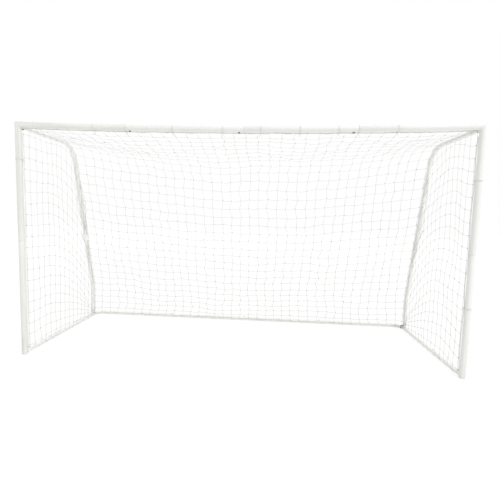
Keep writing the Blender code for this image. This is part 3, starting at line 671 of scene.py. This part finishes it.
def build_side_net(side, label):
    """One side of the net, laced to the post, the top bar, the stanchion and the ground bar."""
    knots = side_net_grid(side)
    top = TOP_BAR_HEIGHT - 0.010
    line = rear_line(side, NET_INSET, GROUND_LIFT)

    def back(height):
        """Depth of the net's rear edge, ahead of the stanchion."""
        return np.interp(-np.minimum(height, top), -line[:, 2], line[:, 1]) - 0.012

    def outside(place):
        """How far a place lies outside the side's outline, below zero within."""
        y, z = place[1:]
        return max(y - back(z), z - top, 0.034 - z, (FRONT_Y + 0.024) - y)

    def edge(inner, outer):
        """Where the way from an inner to an outer place crosses the outline."""
        a, b = outside(inner), outside(outer)
        return inner + (outer - inner) * (-a / (b - a))

    drift, jitter = 0.008, 0.0020
    noise = smooth_noise(knots.shape[:2], drift, 3.5) + RANDOM.normal(0, jitter, knots.shape)
    noise[..., 0] = noise[..., 0] * 0.8 - side * 0.004
    noise[0] = 0
    noise[1] *= 0.4
    knots = knots + noise
    inside = np.array([[outside(place) < 0 for place in column] for column in knots])
    cords, tied = Cords(), Cords()
    weave(
        knots, np.array([1.0, 0, 0]), cords, tied, SIDE_TWINE,
        row_sag=0.002, column_sway=0.0015, inside=inside, edge=edge,
    )
    z = np.linspace(top, 0.036, 90)
    margin = np.stack([side * (POST_X - NET_INSET) + 0 * z, back(z), z], -1)
    margin = np.concatenate([[[margin[0, 0], FRONT_Y + 0.030, top]], margin])
    margin = even(margin, 0.02)
    cords.add(margin + wander(len(margin), 5, 0.0010), MARGIN, 6)
    cords.build(f"netting_{label}", NETTING, "net_twine", f"net_{label}")
    tied.build(f"knots_{label}", SHADED_KNOTTING, "net_twine")


def twisted(points, offset, turns, phase=0.0):
    """A line that winds round a path."""
    points = np.asarray(points, float)
    tangents = np.gradient(points, axis=0)
    tangents /= np.linalg.norm(tangents, axis=1)[:, None] + 1e-12
    normal = unit(np.cross(tangents[0], (0.31, 0.52, 0.79)))
    lengths = distances(points)
    angle = phase + 2 * math.pi * turns * lengths / lengths[-1]
    out = []
    for point, tangent, spin, reach in zip(points, tangents, angle, np.broadcast_to(offset, len(points))):
        normal = normal - tangent * (normal @ tangent)
        normal /= np.linalg.norm(normal)
        side = np.cross(tangent, normal)
        out.append(point + (normal * math.cos(spin) + side * math.sin(spin)) * reach)
    return np.array(out)


def build_ropes():
    """The ropes along the tubes, slack between their ties."""
    reach = FRONT_RADIUS + ROPE + 0.0004
    x = np.linspace(-1.82, 1.82, 260)
    y = FRONT_Y + math.cos(HEAD_ANGLE) * reach + 0 * x
    hang = np.abs(np.sin((x + 0.2) * 6.3)) * 0.003
    head = np.stack([x, y, crossbar(x) + math.sin(HEAD_ANGLE) * reach - hang], -1)
    rope = Cords()
    rope.add(head + wander(len(x), 9, 0.0006), ROPE, 10)
    # The head rope takes the darker rope colour, partly as painted shade under the crossbar.
    rope.build("head_cord", DIRTY_SHADED_CORDING, "rope", "head_rope")
    for label, side in (("left", -1), ("right", 1)):
        z = np.linspace(0.057, 1.905, 150)
        held = [0.02, 1.0, 1.93] + [height for tie_side, height in POST_TIES if tie_side == side]
        gap = np.min([np.abs(z - height) for height in held], axis=0)
        slack = 0.006 * np.sin(np.clip(gap / 0.25, 0, 1) * math.pi / 2) ** 2
        away = reach + slack + 0.001
        base = np.array([side * POST_X, FRONT_Y, 0])
        out = np.array([-side * math.sqrt(0.5), math.sqrt(0.5), 0])
        points = base + out * away[:, None] + np.stack([0 * z, 0 * z, z], -1)
        rope = Cords()
        rope.add(points + wander(len(z), 7, 0.0012) * (gap > 0.02)[:, None], ROPE, 10)
        rope.build(f"{label}_post_cord", TYING, "rope", f"{label}_post_rope")
    ground = even(ground_line(GROUND_INSET, GROUND_LIFT), 0.02)[1:-1]
    rope = Cords()
    rope.add(ground + wander(len(ground), 8, 0.0008), ROPE, 10)
    rope.build("ground_cord", TYING, "rope", "ground_rope")


def lacing(cords, line, pitch, start, end):
    """A twine wound round a rear tube, from one distance along its line to another."""
    count = int((end - start) / 0.006)
    points = along(line, np.linspace(start, end, count))
    offset = REAR_RADIUS + LACE + 0.0008 + np.abs(RANDOM.normal(0, 0.0006, count))
    wound = twisted(points, offset, (end - start) / pitch, RANDOM.uniform(0, 6))
    wound[:, 2] = np.maximum(wound[:, 2], LACE + 0.0002)
    cords.add(wound, LACE, 5)


def build_lacing():
    """The twine that binds the net's edges to the rear frame."""
    for label, side in (("left", -1), ("right", 1)):
        cords = Cords()
        line = rear_line(side)
        total = distances(line)[-1]
        lacing(cords, line, UPPER_PITCH, *UPPER_LACING)
        lacing(cords, line, LOWER_PITCH, LOWER_LACING, total - 0.03)
        cords.build(f"{label}_lacing", LACING, "net_twine")
    cords = Cords()
    ground = ground_line()
    lacing(cords, ground, LOWER_PITCH, 0.06, distances(ground)[-1] - 0.06)
    cords.build("ground_lacing", LACING, "net_twine")


def build_bunch(name, side, extent, reach, columns, rows):
    """Surplus net gathered in loose folds along a stanchion, between two distances down its line.

    reach is how far the folds stand off it, ahead of it where above zero and behind it where below.
    """
    line = rear_line(side)
    first, last = extent
    down = np.linspace(0, 1, rows)
    ahead = np.array([0, -0.966, -0.259]) * math.copysign(1, reach)
    width = abs(reach) * np.sin(np.clip(down * 1.05 + 0.05, 0, 1) * math.pi) ** 0.7
    grid = np.zeros((columns, rows, 3))
    for i, out in enumerate(np.linspace(0, 1, columns)):
        centre = along(line, first + (last - first) * (down + 0.06 * out))
        fold = 0.012 * math.sin(i * 2.3 + 0.7)
        grid[i] = centre + ahead * (REAR_RADIUS + 0.004 + width * out)[:, None]
        grid[i, :, 0] -= side * (0.012 + fold * np.sin(down * math.pi))
    noise = smooth_noise((columns, rows), 0.007, 2.0) + RANDOM.normal(0, 0.004, grid.shape)
    grid = grid + noise * np.clip(width / 0.05, 0.3, 1)[None, :, None]
    cords, tied = Cords(), Cords()
    weave(grid, np.array([1.0, 0, 0]), cords, tied, SIDE_TWINE, row_sag=0.006, column_sway=0.005)
    cords.build(f"{name}_bunch", LACING, "net_twine")
    tied.build(f"{name}_bunch_knots", LACING, "net_twine")


def build_bunches():
    """Folds along both stanchions."""
    build_bunch("left_upper", -1, (0.98, 1.70), reach=0.055, columns=3, rows=22)
    build_bunch("left_rear", -1, (1.20, 1.74), reach=-0.050, columns=3, rows=15)
    build_bunch("left_lower", -1, (1.92, 2.12), reach=0.030, columns=3, rows=8)
    build_bunch("right_upper", 1, (1.05, 1.98), reach=0.105, columns=4, rows=20)


def build_binding():
    """A dark cord bound round the ground bar in its right rear bend."""
    ground = ground_line()
    start = distances(ground)[-1] / 2 + POST_X - GROUND_BEND + 0.090
    points = along(ground, np.linspace(start, start + 0.016, 90))
    cords = Cords()
    wound = twisted(points, REAR_RADIUS + BINDING + 0.0001, 5)
    wound[:, 2] = np.maximum(wound[:, 2], BINDING + 0.0002)
    cords.add(wound, BINDING, 6)
    cords.build("corner_binding", DARK_CORD, "rope")


def ring_mesh(name, loops):
    """A ring's surface through loops of points, the last of them joined to the first."""
    count, sides = loops.shape[:2]
    faces = []
    for i in range(count):
        j = (i + 1) % count
        for k in range(sides):
            m = (k + 1) % sides
            faces.append((i * sides + k, i * sides + m, j * sides + m, j * sides + k))
    mesh = bpy.data.meshes.new(name)
    mesh.from_pydata(loops.reshape(-1, 3).tolist(), [], faces)
    return mesh


def build_tape():
    """White tape wound thickly round the left sleeve, over the net's edge."""
    line = rear_line(-1)
    low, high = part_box("left_stanchion_sleeve")
    height = (low.z + high.z) / 2 - 0.012
    middle = np.interp(-height, -line[:, 2], distances(line))
    half, lap_pitch = 0.043, 0.019
    where = np.linspace(-half, half, 60)
    centres = along(line, middle + where)
    across = np.array([1.0, 0, 0])
    other = np.cross(unit(centres[-1] - centres[0]), across)
    turn = np.arange(72) * 2 * math.pi / 72
    ring = np.cos(turn)[:, None] * across + np.sin(turn)[:, None] * other
    where = where[:, None]
    lap = (turn / (2 * math.pi) + where / lap_pitch) % 1
    end = np.sqrt(np.clip((half - np.abs(where)) / 0.008, 0, 1))
    skin = 0.0300 + 0.0030 * end + 0.0014 * lap
    skin = skin + 0.0012 * np.sin(2 * turn + where * 90) + 0.0006 * np.sin(5 * turn - where * 140)
    outer = centres[:, None] + ring * skin[..., None] - across * 0.004
    inner = centres[[-1, 0]][:, None] + ring * 0.0230
    mesh = ring_mesh("left_sleeve_tape", np.concatenate([outer, inner]))
    mesh.shade_smooth()
    add_piece("left_sleeve_tape", mesh, TAPE, "sleeve_plastic")


def build_washers():
    """A washer under each bolt's head."""
    slope = along(rear_line(1), np.array([1.6, 1.7]))
    ahead = unit(slope[1] - slope[0])
    directions = {
        "crossbar_bolt": (0, 0, -1),
        "top_bolt": (0, 0, -1),
        "rear_bolt": (0, 0, 1),
        "foot_bolt": (0, 0, 1),
        "side_bolt": (0, 0, 1),
        "post_bolt": (0, 1, 0),
        "stanchion_bolt": (0, -1, 0),
        "sleeve_bolt": (0, -ahead[2], ahead[1]),
    }
    for name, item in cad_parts.items():
        for kind, direction in directions.items():
            if kind in name:
                out = np.array(direction, float)
                places = np.array([vertex.co for vertex in item.data.vertices])
                middle = (places.min(0) + places.max(0)) / 2
                seat = (places @ out).max() - BOLT_HEAD_HEIGHT
                build_washer(f"{name}_washer", middle + out * (seat - middle @ out), out)


def build_washer(name, centre, out):
    """A flat ring with rounded edges, its underside on centre."""
    across = unit(np.cross(out, (0.3, 0.5, 0.8)))
    other = np.cross(out, across)
    radii = np.array([0.0046, 0.0094, 0.0098, 0.0094, 0.0046])
    heights = np.array([0.0, 0.0, 0.0004, 0.0012, 0.0012])
    turns = np.arange(24) * 2 * math.pi / 24
    ring = across * np.cos(turns)[:, None] + other * np.sin(turns)[:, None]
    loops = centre + ring[None] * radii[:, None, None] + out * heights[:, None, None]
    add_piece(name, ring_mesh(name, loops), bolt_finish(name), "bolt_steel")


def build_welds():
    """The bead along each front corner's mitre, ground flatter at its outer tip."""
    turn = np.arange(72) * 2 * math.pi / 72
    for label, side in (("left", -1), ("right", 1)):
        ring = np.stack([np.cos(turn), np.sin(turn), side * np.cos(turn)], -1)
        from_tip = np.clip((1 - side * np.cos(turn)) / 0.08, 0, 1)
        reach = FRONT_RADIUS - 0.0018 + 0.0020 * from_tip
        points = np.array([side * POST_X, FRONT_Y, CORNER_HEIGHT]) + ring * reach[:, None]
        ripple = (0.0017 + 0.0003 * np.sin(turn * 36)) * (0.5 + 0.5 * from_tip)
        cords = Cords()
        cords.add(points + wander(72, 3, 0.0003), ripple, 8, closed=True)
        cords.build(f"{label}_weld", PAINT, "tube_paint")


def build_ties():
    """Turns of cord round the crossbar and posts that hold the ropes."""
    out = np.array([0, math.cos(HEAD_ANGLE), math.sin(HEAD_ANGLE)])
    for number, x in enumerate(CROSSBAR_TIES, 1):
        centre = np.array([x, FRONT_Y, crossbar(x)])
        build_tie(f"crossbar_tie_{number}", centre, np.array([1.0, 0, 0]), out)
    for number, (side, height) in enumerate(POST_TIES, 1):
        centre = np.array([side * POST_X, FRONT_Y, height])
        out = np.array([-side * math.sqrt(0.5), math.sqrt(0.5), 0])
        build_tie(f"post_tie_{number}", centre, np.array([0, 0, 1.0]), out)


def build_tie(name, centre, axis, out):
    """Three turns of cord round a tube and the rope beside it, with a knot and two short tails.

    axis points along the tube and out from its centre line to the rope.
    """
    other = np.cross(axis, out)
    turns = 3
    angle = np.linspace(0, 2 * math.pi * turns, 26 * turns)
    bulge = np.clip(np.cos(angle), 0, 1) ** 10
    distance = FRONT_RADIUS + TIE + 0.0001 + bulge * 2 * ROPE
    slide = (angle / angle[-1] - 0.5) * 2 * turns * TIE
    cords = Cords()
    points = (
        centre
        + out * (np.cos(angle) * distance)[:, None]
        + other * (np.sin(angle) * distance)[:, None]
        + axis * slide[:, None]
    )
    cords.add(points, TIE, 6)
    knot = centre + out * (distance[0] + 0.002)
    turn = np.stack([axis, other, out], 1)
    cords.stamp(KNOT, knot, turn, 1.1)
    spread, lift, drop = 0.012, 0.006, 0.022
    for sign in (-1, 1):
        s = np.linspace(0, 1, 7)
        tail = (
            knot
            + axis * (sign * spread * s)[:, None]
            + out * (lift * np.sin(s * 2.2))[:, None]
            + np.array([0, 0, -1.0]) * (drop * s**1.5)[:, None]
        )
        cords.add(tail, TIE_TAIL, 5)
    cords.build(f"{name}_cord", TYING, "rope", name)


def build_camera():
    """The photograph's camera."""
    turn_z, turn_x, turn_y = CAMERA_TURN
    turn = Matrix.Rotation(turn_z, 3, "Z") @ Matrix.Rotation(turn_x, 3, "X")
    right, forward, up = turn @ Matrix.Rotation(turn_y, 3, "Y")
    data = bpy.data.cameras.new("camera")
    data.sensor_width = 36.0
    data.lens = FOCAL_PIXELS / IMAGE_PIXELS * data.sensor_width
    data.shift_x = (IMAGE_PIXELS / 2 - CENTRE_PIXEL[0]) / IMAGE_PIXELS
    data.shift_y = (CENTRE_PIXEL[1] - IMAGE_PIXELS / 2) / IMAGE_PIXELS
    camera = bpy.data.objects.new("camera", data)
    axes = Matrix((right, up, -forward)).transposed()
    camera.matrix_world = Matrix.Translation(CAMERA_PLACE) @ axes.to_4x4()
    bpy.context.scene.collection.objects.link(camera)
    bpy.context.scene.camera = camera


def build_world():
    """Soft daylight, stronger from overhead, and a white background for the camera."""
    world = bpy.data.worlds.new("world")
    bpy.context.scene.world = world
    world.use_nodes = True
    nodes, links = world.node_tree.nodes, world.node_tree.links
    light = nodes["Background"]
    light.inputs["Color"].default_value = (1.0, 1.0, 0.985, 1)
    heading = nodes.new("ShaderNodeTexCoord")
    split = nodes.new("ShaderNodeSeparateXYZ")
    square = nodes.new("ShaderNodeMath")
    square.operation = "MULTIPLY"
    strength = nodes.new("ShaderNodeMapRange")
    strength.inputs["To Min"].default_value = 0.56
    strength.inputs["To Max"].default_value = 1.15
    links.new(heading.outputs["Generated"], split.inputs[0])
    links.new(split.outputs["Z"], square.inputs[0])
    links.new(split.outputs["Z"], square.inputs[1])
    links.new(square.outputs[0], strength.inputs["Value"])
    links.new(strength.outputs[0], light.inputs["Strength"])
    seen = nodes.new("ShaderNodeBackground")
    seen.inputs["Color"].default_value = (1, 1, 1, 1)
    mix = nodes.new("ShaderNodeMixShader")
    path = nodes.new("ShaderNodeLightPath")
    shown = nodes.new("ShaderNodeMath")
    shown.operation = "ADD"
    shown.use_clamp = True
    mirrored = nodes.new("ShaderNodeMath")
    links.new(path.outputs["Is Glossy Ray"], mirrored.inputs[0])
    links.new(path.outputs["Is Transmission Ray"], mirrored.inputs[1])
    links.new(path.outputs["Is Camera Ray"], shown.inputs[0])
    links.new(mirrored.outputs[0], shown.inputs[1])
    links.new(shown.outputs[0], mix.inputs[0])
    links.new(light.outputs[0], mix.inputs[1])
    links.new(seen.outputs[0], mix.inputs[2])
    links.new(mix.outputs[0], nodes["World Output"].inputs[0])


def build_lamp():
    """A broad soft lamp, high and to the right."""
    data = bpy.data.lights.new("key", "AREA")
    data.size = 8.0
    data.energy = 2250.0
    lamp = bpy.data.objects.new("key", data)
    lamp.location = (11.0, -12.5, 18.5)
    aim = Vector((0, 0, 0.9)) - lamp.location
    lamp.rotation_euler = aim.to_track_quat("-Z", "Y").to_euler()
    bpy.context.scene.collection.objects.link(lamp)


def build_floor():
    """A pale floor that keeps a faint shadow and fades into the background far off."""
    mesh = bpy.data.meshes.new("floor")
    far, height = 30, -0.0006
    corners = [(-far, -far, height), (far, -far, height), (far, far, height), (-far, far, height)]
    mesh.from_pydata(corners, [], [(0, 1, 2, 3)])
    floor = bpy.data.objects.new("floor", mesh)
    bpy.context.scene.collection.objects.link(floor)
    s = Shading("floor")
    s.shader.inputs["Base Color"].default_value = (0.9, 0.9, 0.9, 1)
    s.shader.inputs["Roughness"].default_value = 1.0
    away = s.node("ShaderNodeVectorMath", {0: s.place()}, operation="LENGTH").outputs["Value"]
    inputs = {"Value": away, "From Min": 3.0, "From Max": 12.0, "To Min": 1.03, "To Max": 1.09}
    strength = s.node("ShaderNodeMapRange", inputs).outputs["Result"]
    glow = s.node("ShaderNodeEmission", {"Strength": strength})
    path = s.node("ShaderNodeLightPath").outputs
    mirrored = s.node("ShaderNodeMath", {0: path["Is Glossy Ray"], 1: path["Is Transmission Ray"]})
    shown = s.node("ShaderNodeMath", {0: path["Is Camera Ray"], 1: mirrored.outputs[0]}, use_clamp=True)
    share = s.scale(shown.outputs[0], 0.25, 0.80)
    mix = s.node("ShaderNodeMixShader", {0: share, 1: s.shader.outputs[0], 2: glow.outputs[0]})
    s.tree.links.new(mix.outputs[0], s.tree.nodes["Material Output"].inputs[0])
    mesh.materials.append(s.material)


build_camera()
build_world()
build_lamp()
build_floor()
bpy.context.scene.view_settings.view_transform = "Standard"

finish_frame()
build_rear_net()
for label, side in (("left", -1), ("right", 1)):
    build_side_net(side, label)
build_bunches()
build_ropes()
build_lacing()
build_ties()
build_binding()
build_tape()
build_washers()
build_welds()
